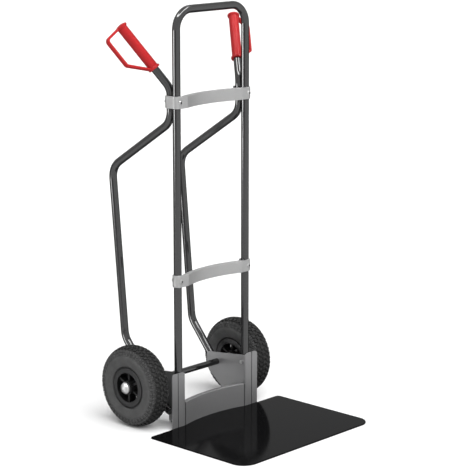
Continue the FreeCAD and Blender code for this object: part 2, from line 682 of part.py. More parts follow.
def make_cheek_plate(name, side):
    """Pressed plate: a web beside the upright, a flange across its front and a foot tab."""
    body = new_body(f"{name}_cheek_plate")
    web = new_sketch(body, f"{name}_web", "YZ_Plane", f"{side} * (cheek_side + sheet / 2) - sheet / 2")
    heel_back = "(cheek_back - cheek_heel_radius * (1 - cos(cheek_heel_turn)))"
    heel_height = "(cheek_heel_height - cheek_heel_radius * sin(cheek_heel_turn))"
    draw(web, [("0 - cheek_front", "cheek_foot"), ("cheek_foot_back", "cheek_foot"),
               ("cheek_foot_back", f"{heel_height} - ({heel_back} - cheek_foot_back) / tan(cheek_heel_turn)"),
               (heel_back, heel_height, "cheek_heel_radius"),
               ("cheek_back", "cheek_heel_height"),
               ("cheek_back", "cheek_back_top - cheek_corner", "cheek_corner"),
               ("cheek_back - cheek_corner", "cheek_back_top"),
               ("0 - cheek_front", "cheek_shoulder")])
    pad(body, web, "sheet")
    flange = new_sketch(body, f"{name}_flange", "XZ_Plane", "cheek_front - sheet")
    draw(flange, [("cheek_side", "cheek_foot"), ("cheek_outer_side", "cheek_foot"),
                  ("cheek_outer_side", "cheek_top - cheek_corner", "cheek_corner"),
                  ("cheek_outer_side - cheek_corner", "cheek_top"),
                  ("cheek_side + cheek_corner", "cheek_top"), ("cheek_side", "cheek_shoulder")], side)
    pad(body, flange, "sheet")
    tab = new_sketch(body, f"{name}_foot_tab", "XY_Plane", "cheek_foot")
    tab_side = "cheek_side - foot_tab_width"
    draw(tab, [(tab_side, "foot_tab_front"), ("cheek_side + sheet", "foot_tab_front"),
               ("cheek_side + sheet", "foot_tab_back"), (tab_side, "foot_tab_back")], side)
    tab_pad = pad(body, tab, "sheet")
    corner_edges = (("cheek_side", "0 - cheek_front", "cheek_bend"),
                    ("cheek_side + sheet", "sheet - cheek_front", "cheek_bend - sheet"))
    base = tab_pad
    long_edge = value("cheek_top / 2")
    for x, y, radius in corner_edges:
        base = dress_edges("Fillet", body, base, lambda point, edge, x=x, y=y: (
            near(abs(point.x), x) and near(point.y, y) and edge.Length > long_edge), Radius=radius)
    groove = new_sketch(body, f"{name}_groove", "XY_Plane")
    draw(groove, [("groove_side - groove_half_width", "0 - cheek_front - overlap"),
                  ("groove_side + groove_half_width", "0 - cheek_front - overlap"),
                  ("groove_side + groove_half_width", "0 - cheek_front"),
                  ("groove_side", "groove_deep - cheek_front"),
                  ("groove_side - groove_half_width", "0 - cheek_front")], side)
    pocket(body, groove)
    holes = new_sketch(body, f"{name}_web_holes", "YZ_Plane")
    draw_circles(holes, [("axle_back", "axle_height", "axle_diameter / 2 + bore_gap"),
                         ("0", "cheek_bolt_high", SMALL_HOLE), ("0", "cheek_bolt_low", SMALL_HOLE),
                         ("skid_bolt_back", "skid_bolt_height", SMALL_HOLE)]
                 + [(back, height, "rivet_radius") for back, height in RIVET_SPOTS])
    pocket(body, holes)
    tab_holes = new_sketch(body, f"{name}_tab_holes", "XY_Plane")
    draw_circles(tab_holes, [(f"{side} * ({x})", y, LARGE_HOLE) for x, y in TOE_SCREW_SPOTS])
    pocket(body, tab_holes)


def make_kick_panel():
    """Bowed sheet across the front between the cheeks, with a rim along its top."""
    body = new_body("kick_panel")
    bow = "((cheek_side ^ 2 + kick_bow ^ 2) / (2 * kick_bow))"
    centre = f"(kick_bow - kick_end_front - {bow})"

    def strip(name, level, depth):
        back = f"{centre} + sqrt(({bow} + {depth}) ^ 2 - cheek_side ^ 2)"
        sketch = new_sketch(body, name, "XY_Plane", level)
        draw(sketch, [("0 - cheek_side", "0 - kick_end_front", f"0 - {bow}"),
                      ("cheek_side", "0 - kick_end_front"),
                      ("cheek_side", back, f"{bow} + {depth}"), ("0 - cheek_side", back)])
        return sketch

    pad(body, strip("kick_face", "cheek_foot", "sheet"), "kick_top - cheek_foot")
    rim = pad(body, strip("kick_rim_plan", "kick_top - sheet", "kick_rim"), "sheet")
    dress_edges("Fillet", body, rim, lambda point, edge: (
        near(point.z, "kick_top") and near(point.y, "kick_bow - kick_end_front")), Radius="kick_rim_round")
    tabs = new_sketch(body, "kick_tabs", "XY_Plane", "(cheek_foot + kick_top) / 2")
    for _, side in SIDES:
        draw(tabs, [("cheek_side - sheet", "0 - kick_end_front + sheet"),
                    ("cheek_side", "0 - kick_end_front + sheet"),
                    ("cheek_side", "kick_tab_back"), ("cheek_side - sheet", "kick_tab_back")], side)
    pad(body, tabs, "kick_top - cheek_foot - kick_tab_short", both_sides=True)
    for name, side in SIDES:
        holes = new_sketch(body, f"kick_{name}_holes", "YZ_Plane", f"{side} * (cheek_side - sheet / 2)")
        draw_circles(holes, [("0", "cheek_bolt_low", SMALL_HOLE)]
                     + [(back, height, "rivet_radius") for back, height in RIVET_SPOTS])
        pocket(body, holes, "2 * sheet")


def make_toe_plate():
    """Flat load plate with a tongue that runs back between the cheeks."""
    body = new_body("toe_plate")
    outline = new_sketch(body, "toe_outline", "XY_Plane")
    tongue = "cheek_side - toe_tongue_gap"
    right = [("toe_half_width", "0 - toe_front"), ("toe_half_width", "0 - toe_back"),
             ("cheek_outer_side", "0 - toe_back"), ("cheek_outer_side", "sheet - cheek_front"),
             (tongue, "sheet - cheek_front"), (tongue, "toe_tongue_back")]
    draw(outline, right + mirrored(right))
    base = pad(body, outline, "toe_thick")
    for x, y, radius in (("toe_half_width", "0 - toe_front", "toe_front_radius"),
                         ("toe_half_width", "0 - toe_back", "toe_back_radius"),
                         (tongue, "toe_tongue_back", "toe_back_radius")):
        base = dress_edges("Fillet", body, base, lambda point, edge, x=x, y=y: (
            near(abs(point.x), x) and near(point.y, y)), Radius=radius)
    holes = new_sketch(body, "toe_holes", "XY_Plane")
    draw_circles(holes, [(f"{side} * ({x})", y, LARGE_HOLE) for _, side in SIDES for x, y in TOE_SCREW_SPOTS])
    drilled = pocket(body, holes)
    sunk = dress_edges("Chamfer", body, drilled, lambda point, edge: (
        near(point.z, "0") and near(circle_radius(edge), LARGE_HOLE)), Size="countersink")
    dress_edges("Fillet", body, sunk, lambda point, edge: (
        near(point.z, "toe_thick") and point.y < value("0 - toe_back") - 0.05), Radius="toe_edge_radius")


# ---------------------------------------------------------------- axle

def on_axle(label):
    """A body whose own X axis is the axle's axis."""
    body = new_body(label)
    place(body, y="axle_back", z="axle_height")
    return body


def turned_on_axle(label, corners, side):
    """A piece turned about the axle: corners are (distance from the middle plane, radius)."""
    body = on_axle(label)
    profile = new_sketch(body, f"{label}_profile", "XZ_Plane")
    draw(profile, corners, side)
    revolve(body, profile)
    return body


def make_axle():
    body = on_axle("axle")
    round_bar = new_sketch(body, "axle_section", "YZ_Plane")
    draw_circles(round_bar, [("0", "0", "axle_diameter / 2")])
    bar = pad(body, round_bar, "2 * axle_half_length", both_sides=True)
    dress_edges("Chamfer", body, bar, lambda point, edge: near(abs(point.x), "axle_half_length"),
                Size="axle_chamfer")


def make_axle_cap(name, side):
    """Domed cap pushed on the end of the axle."""
    base = "(wheel_half_track + hub_half_length + washer_thick + 2 * end_gap)"
    rise = f"(cap_tip_side - {base} - cap_rim)"
    floor = "axle_half_length + end_gap"
    bore = "axle_diameter / 2 + bore_gap"
    turned_on_axle(f"{name}_axle_cap", [
        (base, bore), (base, "cap_radius"),
        (f"{base} + cap_rim", "cap_radius", f"0 - (cap_radius ^ 2 + {rise} ^ 2) / (2 * {rise})"),
        ("cap_tip_side", "0"), (floor, "0"), (floor, bore)], side)


def ring_master(name, radius, length):
    outside = primitive("Cylinder", f"{name}_outside", Radius=radius, Height=length)
    bore = primitive("Cylinder", f"{name}_bore", Radius="axle_diameter / 2 + bore_gap", Height=length)
    return combine("Cut", name, outside, bore)


def make_axle_rings():
    """Thrust washers on both sides of each hub, and stop collars inside the inner washers."""
    washer = ring_master("washer_master", "washer_radius", "washer_thick")
    collar = ring_master("collar_ring", "collar_radius", "collar_long")
    tapped = primitive("Cylinder", "collar_hole", Radius="small_thread / 2", Height="2 * collar_radius")
    tapped.setExpression("Placement.Base.z", bound("collar_long / 2"))
    tapped.Placement.Rotation = FreeCAD.Rotation(Vector(0, 1, 0), 90)
    bored = combine("Cut", "collar_master", collar, tapped)
    grub = primitive("Cylinder", "grub_screw", Radius="small_thread / 2 - bore_gap",
                     Height="grub_long")
    doc.recompute()
    washers = []
    collars = []
    grubs = []
    for _, side in SIDES:
        outward = Vector(side, 0, 0)
        for start in ("wheel_half_track + hub_half_length + end_gap",
                      "wheel_half_track - hub_half_length - end_gap - washer_thick"):
            washers.append(copy_to(washer, at(f"{side} * ({start})", "axle_back", "axle_height"), outward))
        start = "wheel_half_track - hub_half_length - 2 * end_gap - washer_thick - collar_long"
        place_at = at(f"{side} * ({start})", "axle_back", "axle_height")
        collars.append(copy_to(bored, place_at, outward))
        hole_way = collars[-1].Placement.Rotation.multVec(Vector(1, 0, 0))
        middle = place_at + outward * value("collar_long / 2")
        grubs.append(copy_to(grub, middle + hole_way * value("axle_diameter / 2 + grub_gap"), hole_way))
    add_group("axle_washers", washers)
    add_group("axle_collars", collars)
    add_group("collar_grub_screws", grubs)


# ---------------------------------------------------------------- wheels

def axial(distance, face=1):
    """Distance from the middle plane of a point at a distance from the wheel's own middle."""
    return f"wheel_half_track + {face} * ({distance})"


def make_tyre(name, side):
    drop = "(axle_height - tyre_shoulder_radius)"
    crown = f"(tyre_shoulder_side ^ 2 + {drop} ^ 2) / (2 * {drop})"
    seat = "rim_seat_radius + bead_gap"
    cavity_foot = "tyre_cavity_centre - sqrt(tyre_cavity ^ 2 - bead_toe ^ 2)"
    turned_on_axle(f"{name}_tyre", [
        (axial("bead_toe"), seat), (axial("bead_side"), seat),
        (axial("bead_side"), "bead_foot_radius"),
        (axial("side_foot"), "side_foot_radius", "tyre_side_radius"),
        (axial("tyre_shoulder_side"), "tyre_shoulder_radius", crown),
        (axial("tyre_shoulder_side", -1), "tyre_shoulder_radius", "tyre_side_radius"),
        (axial("side_foot", -1), "side_foot_radius"),
        (axial("bead_side", -1), "bead_foot_radius"),
        (axial("bead_side", -1), seat), (axial("bead_toe", -1), seat),
        (axial("bead_toe", -1), cavity_foot, "0 - tyre_cavity"),
        (axial("0"), "tyre_cavity_centre + tyre_cavity", "0 - tyre_cavity"),
        (axial("bead_toe"), cavity_foot)], side)


def make_inner_tube(name, side):
    body = on_axle(f"{name}_inner_tube")
    profile = new_sketch(body, f"{name}_inner_tube_profile", "XZ_Plane")
    outside = "tyre_cavity - tube_gap"
    draw_circles(profile, [(f"{side} * wheel_half_track", "tyre_cavity_centre", radius)
                           for radius in (outside, f"{outside} - inner_tube_wall")])
    revolve(body, profile)


def make_rim_half(name, side, face, label):
    """One half of the two-part rim, with its disc, ribs and half of the hub."""
    flange_back = "rim_flange_side - rim_flange_thick"
    corner = "rim_flange_thick - 0.5"
    body = turned_on_axle(f"{name}_{label}", [
        (axial("0", face), "hub_bore"), (axial("hub_half_length", face), "hub_bore"),
        (axial("hub_half_length", face), "hub_radius"), (axial("rim_disc", face), "hub_radius"),
        (axial("rim_disc", face), "rim_seat_radius - rim_wall"),
        (axial("rim_flange_side", face), "rim_seat_radius - rim_wall"),
        (axial("rim_flange_side", face), f"rim_flange_radius - ({corner})", f"{face} * ({corner})"),
        (axial(f"rim_flange_side - ({corner})", face), "rim_flange_radius"),
        (axial(flange_back, face), "rim_flange_radius"), (axial(flange_back, face), "rim_seat_radius"),
        (axial("0", face), "rim_seat_radius")], side)
    rib = new_sketch(body, f"{name}_{label}_rib", "YZ_Plane",
                     f"{side} * ({axial('(rim_disc + rib_reach) / 2', face)})")
    low = "hub_radius - overlap"
    high = "rim_seat_radius - rim_wall + overlap"
    draw(rib, [("0 - rib_thick / 2", low), ("rib_thick / 2", low),
               ("rib_thick / 2", high), ("0 - rib_thick / 2", high)])
    rib_pad = pad(body, rib, "rib_reach - rim_disc + overlap", both_sides=True)
    repeat_around(body, rib_pad, "X_Axis", "rib_count")
    hole = new_sketch(body, f"{name}_{label}_hole", "YZ_Plane")
    half_step = "(180 / rib_count)"
    draw_circles(hole, [(f"rim_bolt_circle * sin({half_step})", f"rim_bolt_circle * cos({half_step})",
                         "small_thread / 2 + bore_gap")])
    repeat_around(body, pocket(body, hole), "X_Axis", "rib_count")
    return body


def make_valve_hole(body, name, side):
    """The hole for the valve through the inner rim half."""
    hole = new_sketch(body, f"{name}_valve_hole", "XY_Plane")
    hole.setExpression("AttachmentOffset.Base.y", bound("0 - rim_seat_radius * sin(valve_angle)"))
    hole.setExpression("AttachmentOffset.Base.z", bound("rim_seat_radius * cos(valve_angle)"))
    hole.AttachmentOffset.Rotation = FreeCAD.Rotation(Vector(1, 0, 0), value("valve_angle"))
    draw_circles(hole, [(f"{side} * ({axial('valve_side', -1)})", "0", "valve_radius + valve_gap")])
    pocket(body, hole, "4 * rim_wall")


def make_valve(name, side):
    """Rubber valve stem, bent from the inner tube to the side of the rim, with its cap."""
    angle = math.radians(value("valve_angle"))
    outward = Vector(0, -math.sin(angle), math.cos(angle))
    axle = at("0", "axle_back", "axle_height")
    inward = Vector(-side, 0, 0)
    foot = axle + Vector(side * value(axial("valve_side", -1)), 0, 0)
    reach = "tyre_cavity_centre - sqrt((tyre_cavity - tube_gap) ^ 2 - (valve_side - valve_radius) ^ 2)"
    corners = [foot + outward * value(reach),
               foot + outward * value("valve_bend_radius"),
               foot + outward * value("valve_bend_radius") + inward * value("valve_side")]
    stem = swept_round(bent_wire(corners, value("2 * valve_radius")), value("valve_radius"))
    add_group(f"{name}_valve_stem", [stem])
    cap_radius = value("valve_radius + valve_cap_wall")
    cap = Part.makeCylinder(cap_radius, value("valve_cap_long"), corners[-1], inward)
    add_group(f"{name}_valve_cap", [cap.makeFillet(value("valve_cap_round"), [cap.Edges[0]])])


def make_hub_bearing(name, side):
    """Steel sleeve, roller cage and the rollers that run on the axle."""
    for label, inner, outer, half in (("hub_sleeve", "sleeve_bore", "hub_bore", "hub_half_length"),
                                      ("roller_cage", "cage_inner", "cage_outer", "cage_half_length")):
        near_end, far_end = axial(half, -1), axial(half)
        body = turned_on_axle(f"{name}_{label}", [
            (near_end, inner), (far_end, inner), (far_end, outer), (near_end, outer)], side)
    window = new_sketch(body, f"{name}_cage_windows", "YZ_Plane", f"{side} * wheel_half_track")
    draw_circles(window, [("0", "roller_circle", "roller_radius + roller_gap")])
    repeat_around(body, pocket(body, window, "roller_long + 2 * end_gap"), "X_Axis", "roller_count")
    roller = primitive("Cylinder", f"{name}_roller_master", Radius="roller_radius", Height="roller_long")
    doc.recompute()
    rollers = []
    start = f"{side} * wheel_half_track - roller_long / 2"
    for turn in range(round(value("roller_count"))):
        angle = 360 * turn / value("roller_count")
        rollers.append(copy_to(roller, at(start, f"axle_back + roller_circle * sin({angle})",
                                          f"axle_height + roller_circle * cos({angle})"), Vector(1, 0, 0)))
    add_group(f"{name}_rollers", rollers)


def make_rim_bolts(name, side, bolt, nut):
    bolts = []
    nuts = []
    outward = Vector(side, 0, 0)
    for turn in range(round(value("rib_count"))):
        angle = f"({turn} + 0.5) * 360 / rib_count"
        spot = (f"axle_back + rim_bolt_circle * sin({angle})",
                f"axle_height + rim_bolt_circle * cos({angle})")
        bolts.append(copy_to(bolt, at(f"{side} * ({axial('rim_disc')})", *spot), outward))
        nuts.append(copy_to(nut, at(f"{side} * ({axial('rim_disc', -1)})", *spot), outward * -1))
    add_group(f"{name}_rim_bolts", bolts)
    add_group(f"{name}_rim_nuts", nuts)


def make_wheel(name, side, bolt, nut):
    make_tyre(name, side)
    make_inner_tube(name, side)
    make_rim_half(name, side, 1, "rim_outer_half")
    inner_half = make_rim_half(name, side, -1, "rim_inner_half")
    make_valve_hole(inner_half, name, side)
    make_valve(name, side)
    make_hub_bearing(name, side)
    make_rim_bolts(name, side, bolt, nut)


# ---------------------------------------------------------------- grips and plugs

def make_grip(name, side):
    """Moulded grip with collars, a closed end and a knuckle guard.

    In the body's own frame +Z runs up the grip and +X points to the guard.
    """
    body = new_body(f"{name}_grip")
    guard = new_sketch(body, f"{name}_guard", "XZ_Plane")
    draw(guard, [("guard_root", "guard_root_low"), ("guard_reach", "guard_low"),
                 ("guard_reach", "guard_high"), ("guard_root", "guard_root_high")])
    plate = pad(body, guard, "guard_wide", both_sides=True)
    window = new_sketch(body, f"{name}_finger_gap", "XZ_Plane")
    inner_reach = "guard_reach - guard_strap"
    draw(window, [("window_root", "window_root_low"), (inner_reach, "window_low"),
                  (inner_reach, "window_high"), ("window_root", "window_root_high")])
    strap = pocket(body, window)
    for reach, along, radius in ((inner_reach, "window_high", "guard_bend_high - guard_strap"),
                                 (inner_reach, "window_low", "guard_bend_low - guard_strap"),
                                 ("guard_reach", "guard_high", "guard_bend_high"),
                                 ("guard_reach", "guard_low", "guard_bend_low")):
        strap = dress_edges("Fillet", body, strap, lambda point, edge, x=reach, z=along: (
            near(point.x, x) and near(point.y, "0") and near(point.z, z)), Radius=radius)
    dress_edges("Fillet", body, strap, lambda point, edge: near(abs(point.y), "guard_wide / 2"),
                Radius="guard_edge_radius")
    profile = new_sketch(body, f"{name}_handle_profile", "XZ_Plane")
    crown = "(grip_long - grip_crown_step)"
    draw(profile, [("0", "0"), ("grip_collar_radius", "0"),
                   ("grip_collar_radius", "grip_collar", "grip_neck_radius"),
                   ("grip_radius", "grip_collar + grip_neck"),
                   ("grip_radius", f"{crown} - grip_collar - grip_neck", "grip_neck_radius"),
                   ("grip_collar_radius", f"{crown} - grip_collar"),
                   ("grip_collar_radius", "grip_long - grip_crown_round",
                    "(grip_collar_radius ^ 2 + grip_crown_round ^ 2) / 2 / grip_crown_round"),
                   ("0", "grip_long")])
    handle = revolve(body, profile, "V_Axis")
    dress_edges("Fillet", body, handle, lambda point, edge: (
        near(circle_radius(edge), "grip_collar_radius")
        and (near(point.z, "0") or near(point.z, "grip_long - grip_crown_round"))),
                Radius="grip_collar_round")
    bore = new_sketch(body, f"{name}_bore", "XY_Plane")
    draw_circles(bore, [("0", "0", "tube_diameter / 2 + bore_gap")])
    pocket(body, bore, "2 * (grip_long - grip_crown + bore_gap)")
    _, tip, along = handle_line(side)
    guard_way = Vector(0, 1, 0).cross(along).normalize() * side
    turn = FreeCAD.Rotation(guard_way, Vector(), along, "ZXY")
    body.Placement = FreeCAD.Placement(tip - along * value("grip_long"), turn)


def make_tube_plugs():
    """Plastic plugs in the open lower ends of the uprights and of the skid tubes."""
    head = primitive("Cylinder", "plug_head", Radius="tube_diameter / 2", Height="plug_head")
    insert = primitive("Cylinder", "plug_insert", "0 - plug_long",
                       Radius="tube_diameter / 2 - tube_wall - bore_gap", Height="plug_long + plug_head / 2")
    plug = combine("Fuse", "plug_master", head, insert)
    doc.recompute()
    skid_end = at("0", "skid_end_back", "skid_end_height")
    skid_way = (skid_end - at("0", "skid_toe_back", "skid_toe_height")).normalize()
    add_group("upright_plugs", [
        copy_to(plug, at(f"{side} * post_half_gap", "0", "post_foot"), DOWN) for _, side in SIDES])
    add_group("skid_tube_plugs", [
        copy_to(plug, at(f"{side} * post_half_gap", "skid_end_back", "skid_end_height"), skid_way)
        for _, side in SIDES])


# ---------------------------------------------------------------- fasteners

def make_fasteners():
    """Screws, bolts, nuts and rivets, grouped by the joint that they hold."""
    hook = "tube_diameter / 2 + clamp_wall"
    nut = make_nut("small_nut_master", "small_flats", "small_nut", "small_thread")
    large_nut = make_nut("large_nut_master", "large_flats", "large_nut", "large_thread")
    bolt = make_hex_bolt("cheek_bolt_master", "small_flats", "hex_head", "small_thread", "cheek_bolt_long")
    rim_bolt = make_hex_bolt("rim_bolt_master", "small_flats", "hex_head", "small_thread", "rim_bolt_long")
    flat_screw = make_flat_screw("toe_screw_master", "toe_screw_long")
    rivet = make_rivet("rivet_master", "2 * sheet")
    bars = (("upper_bar_height", "skid_neck_back"), ("lower_bar_height", "0"))
    screws = [make_button_screw(f"crossbar_screw_{row}", f"2 * ({hook}) + {reach} + small_nut + thread_end")
              for row, (_, reach) in enumerate(bars)]
    doc.recompute()
    groups = {name: [] for name in ("crossbar_screws", "crossbar_nuts", "cheek_bolts", "cheek_nuts",
                                    "skid_tube_bolts", "skid_tube_nuts", "kick_panel_rivets",
                                    "toe_plate_screws", "toe_plate_nuts")}
    for _, side in SIDES:
        inward = Vector(-side, 0, 0)
        for screw, (height, reach) in zip(screws, bars):
            x = f"{side} * post_half_gap"
            groups["crossbar_screws"].append(copy_to(screw, at(x, f"0 - ({hook})", height), Vector(0, -1, 0)))
            groups["crossbar_nuts"].append(copy_to(nut, at(x, f"{reach} + {hook}", height), Vector(0, 1, 0)))
        outside = f"{side} * (post_half_gap + tube_diameter / 2)"
        for height, face in (("cheek_bolt_high", "cheek_side"), ("cheek_bolt_low", "cheek_side - sheet")):
            groups["cheek_bolts"].append(copy_to(bolt, at(f"{side} * ({face})", "0", height), inward))
            groups["cheek_nuts"].append(copy_to(nut, at(outside, "0", height), inward * -1))
        groups["skid_tube_bolts"].append(copy_to(
            bolt, at(f"{side} * cheek_side", "skid_bolt_back", "skid_bolt_height"), inward))
        groups["skid_tube_nuts"].append(copy_to(
            nut, at(outside, "skid_bolt_back", "skid_bolt_height"), inward * -1))
        for back, height in RIVET_SPOTS:
            face = f"{side} * (cheek_side - sheet)"
            groups["kick_panel_rivets"].append(copy_to(rivet, at(face, back, height), inward))
        for x, y in TOE_SCREW_SPOTS:
            under = at(f"{side} * ({x})", y, "end_gap")
            above = at(f"{side} * ({x})", y, "cheek_foot + sheet")
            groups["toe_plate_screws"].append(copy_to(flat_screw, under, DOWN))
            groups["toe_plate_nuts"].append(copy_to(large_nut, above, DOWN * -1))
    for name, pieces in groups.items():
        add_group(name, pieces)
    return rim_bolt, nut


# ---------------------------------------------------------------- checks and files

def check_document():
    """Stop if any object failed, any cut removed nothing or any sub-part has a bad shape."""
    doc.recompute()
    for item in doc.Objects:
        if {"Invalid", "Error"} & set(item.State):
            raise RuntimeError(f"{item.Name} failed: {item.State}")
        if item.isDerivedFrom("PartDesign::Pocket"):
            removed = item.BaseFeature.Shape.Volume - item.Shape.Volume
            if removed < 1:
                raise RuntimeError(f"{item.Name} cut nothing")
    for node in nodes:
        if node.Shape.isNull() or not node.Shape.isValid():
            raise RuntimeError(f"{node.Label} has a bad shape")


def write_files():
    os.makedirs("parts", exist_ok=True)
    for node in nodes:
        node.Shape.exportStep(f"parts/{node.Label}.step")
        print(f"{node.Label}: {len(node.Shape.Solids)} solid(s), {node.Shape.Volume / 1000:.1f} cm3")


make_front_frame()
for side_name, side_sign in SIDES:
    make_skid_tube(f"{side_name}_skid_tube", side_sign)
make_crossbar("upper_crossbar", "upper_bar_height", "skid_neck_back")
make_crossbar("lower_crossbar", "lower_bar_height", "0")
for side_name, side_sign in SIDES:
    make_cheek_plate(side_name, side_sign)
make_kick_panel()
make_toe_plate()
make_axle()
make_axle_rings()
make_tube_plugs()
wheel_bolt, wheel_nut = make_fasteners()
for side_name, side_sign in SIDES:
    make_axle_cap(side_name, side_sign)
    make_grip(side_name, side_sign)
    make_wheel(side_name, side_sign, wheel_bolt, wheel_nut)
check_document()
write_files()
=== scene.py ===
import math

import bmesh
import bpy
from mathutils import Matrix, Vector


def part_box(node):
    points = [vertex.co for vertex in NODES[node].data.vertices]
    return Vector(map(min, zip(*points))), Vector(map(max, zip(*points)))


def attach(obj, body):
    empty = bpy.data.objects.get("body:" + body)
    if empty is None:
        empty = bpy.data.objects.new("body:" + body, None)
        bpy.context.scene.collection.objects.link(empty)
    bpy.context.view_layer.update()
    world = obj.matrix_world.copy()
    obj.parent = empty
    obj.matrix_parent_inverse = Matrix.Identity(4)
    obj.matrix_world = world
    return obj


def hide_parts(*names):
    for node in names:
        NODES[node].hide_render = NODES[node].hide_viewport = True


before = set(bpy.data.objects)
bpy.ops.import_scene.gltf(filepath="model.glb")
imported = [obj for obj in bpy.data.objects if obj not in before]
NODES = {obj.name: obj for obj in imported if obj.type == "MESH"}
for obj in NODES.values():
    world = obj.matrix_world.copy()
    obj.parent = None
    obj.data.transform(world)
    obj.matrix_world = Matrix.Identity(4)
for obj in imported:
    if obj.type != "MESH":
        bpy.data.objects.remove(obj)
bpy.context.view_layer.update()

bl_info = {
    "name": "Hand truck looks",
    "version": (1, 0, 0),
    "blender": (4, 5, 0),
    "location": "3D View > Sidebar > Hand truck",
    "description": "Finishes, tyres and studio for a hand truck that is already built as a fixed frame",
    "category": "Object",
}

SIDES = ("left", "right")
WHEEL_CENTRE = {name: (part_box(f"{name}_tyre")[0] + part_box(f"{name}_tyre")[1]) / 2 for name in SIDES}
AXLE = WHEEL_CENTRE["left"]
TYRE_RADIUS = (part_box("left_tyre")[1].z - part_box("left_tyre")[0].z) / 2
RIM_DISH_RADIUS = 0.049
BUTTON_RADIUS = 0.0068
SOCKET_RADIUS = 0.0030
FLANGE_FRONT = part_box("left_cheek_plate")[0].y
GROOVE_SIDE = 0.1695
GROOVE_HALF = 0.0016
SEAM_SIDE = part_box("kick_panel")[1].x
SEAM_HALF = 0.0015
# Painted shade: the cheek paint darkens below these heights.
SHADE_FADE_LOW, SHADE_FADE_HIGH = 0.06, 0.20
# Painted shade: the first three greys darken the sheet's groove and seam, its lower part and the rims'
# recess.
CREASE_SHADE_GREY, LOW_SHADE_GREY, DISH_SHADE_GREY, TREAD_GREY = 0.12, 0.74, 0.25, 0.30
NOISE_LOW, NOISE_HIGH = 0.3, 0.7
GRAIN_SIZE = 0.0006
BUTYL = (0.02, 0.02, 0.02)
BLACK_PLASTIC = (0.02, 0.02, 0.02)
BEARING_STEEL = (0.5, 0.5, 0.5)


# ---------------------------------------------------------------- node helpers

class Graph:
    """A node tree with short calls for the nodes that finishes and the room's light share."""

    def __init__(self, tree):
        self.tree = tree

    def add(self, kind, **settings):
        node = self.tree.nodes.new(kind)
        for name, setting in settings.items():
            setattr(node, name, setting)
        return node

    def join(self, source, target):
        self.tree.links.new(source, target)

    def math(self, operation, *operands):
        """A math node over sockets and plain numbers."""
        node = self.add("ShaderNodeMath", operation=operation)
        for socket, operand in zip(node.inputs, operands):
            if isinstance(operand, bpy.types.NodeSocket):
                self.join(operand, socket)
            else:
                socket.default_value = operand
        return node.outputs["Value"]

    def remap(self, source, low, high, out_low, out_high, kind="LINEAR"):
        node = self.add("ShaderNodeMapRange", interpolation_type=kind)
        ends = {"From Min": low, "From Max": high, "To Min": out_low, "To Max": out_high}
        for socket, number in ends.items():
            node.inputs[socket].default_value = number
        self.join(source, node.inputs["Value"])
        return node.outputs["Result"]

    def rise(self, source, low, high):
        """0 below low and 1 above high, with a soft step between them."""
        return self.remap(source, low, high, 0.0, 1.0, "SMOOTHSTEP")

    def band(self, source, low, high, soft):
        """1 between low and high and 0 outside them, with soft edges."""
        return self.math("MULTIPLY", self.rise(source, low - soft, low), self.remap(
            source, high, high + soft, 1.0, 0.0, "SMOOTHSTEP"))


class Nodes(Graph):
    """A material's node tree round a Principled shader."""

    def __init__(self, name, **shader):
        self.material = bpy.data.materials.new(name)
        self.material.use_nodes = True
        super().__init__(self.material.node_tree)
        self.shader = self.tree.nodes["Principled BSDF"]
        for socket, number in shader.items():
            self.shader.inputs[socket.replace("_", " ")].default_value = number
        self.place = self.add("ShaderNodeTexCoord").outputs["Object"]

    def noise(self, scale, detail=3.0, stretch=None, roughness=0.5):
        """Noise over the piece, scale in cycles per metre; stretch squeezes it along an axis."""
        node = self.add("ShaderNodeTexNoise")
        node.inputs["Scale"].default_value = scale
        node.inputs["Detail"].default_value = detail
        node.inputs["Roughness"].default_value = roughness
        place = self.place
        if stretch:
            mapping = self.add("ShaderNodeMapping")
            mapping.inputs["Scale"].default_value = stretch
            self.join(place, mapping.inputs["Vector"])
            place = mapping.outputs["Vector"]
        self.join(place, node.inputs["Vector"])
        return node.outputs["Fac"]

    def blend(self, factor, first, second):
        """A colour from first to second by factor."""
        node = self.add("ShaderNodeMix", data_type="RGBA")
        self.join(factor, node.inputs["Factor"])
        node.inputs[6].default_value = first
        node.inputs[7].default_value = second
        return node.outputs[2]

    def axes(self):
        """The piece's own X, Y and Z in metres."""
        split = self.add("ShaderNodeSeparateXYZ")
        self.join(self.place, split.inputs["Vector"])
        return split.outputs["X"], split.outputs["Y"], split.outputs["Z"]

    def distance(self, first, second, first_centre, second_centre):
        """Distance from a line that runs along the third axis."""
        squares = [self.math("POWER", self.math("ABSOLUTE", self.math("SUBTRACT", place, centre)), 2.0)
                   for place, centre in ((first, first_centre), (second, second_centre))]
        return self.math("SQRT", self.math("ADD", *squares))

    def from_axle(self):
        """Distance from the axle's axis."""
        _, back, height = self.axes()
        return self.distance(back, height, AXLE.y, AXLE.z)

    def darken(self, source, factor, floor):
        """The colour of a socket, times floor where the factor is 0 and unchanged where it is 1."""
        node = self.add("ShaderNodeMix", data_type="RGBA", blend_type="MULTIPLY")
        node.inputs["Factor"].default_value = 1.0
        self.join(source, node.inputs[6])
        grey = self.add("ShaderNodeCombineColor")
        level = self.remap(factor, 0.0, 1.0, floor, 1.0)
        for channel in grey.inputs:
            self.join(level, channel)
        self.join(grey.outputs["Color"], node.inputs[7])
        return node.outputs[2]

    def tint(self, factor, colour, spread):
        """The colour, darker by spread where the factor is 0 and lighter by spread where it is 1."""
        return self.blend(factor, shade(colour, 1 - spread), shade(colour, 1 + spread))

    def colour(self, source):
        self.join(source, self.shader.inputs["Base Color"])

    def rough(self, noise, low, high):
        """Roughness from low to high, over the middle of a noise."""
        self.join(self.remap(noise, NOISE_LOW, NOISE_HIGH, low, high), self.shader.inputs["Roughness"])

    def bump(self, source, strength, distance):
        node = self.add("ShaderNodeBump")
        node.inputs["Strength"].default_value = strength
        node.inputs["Distance"].default_value = distance
        self.join(source, node.inputs["Height"])
        self.join(node.outputs["Normal"], self.shader.inputs["Normal"])


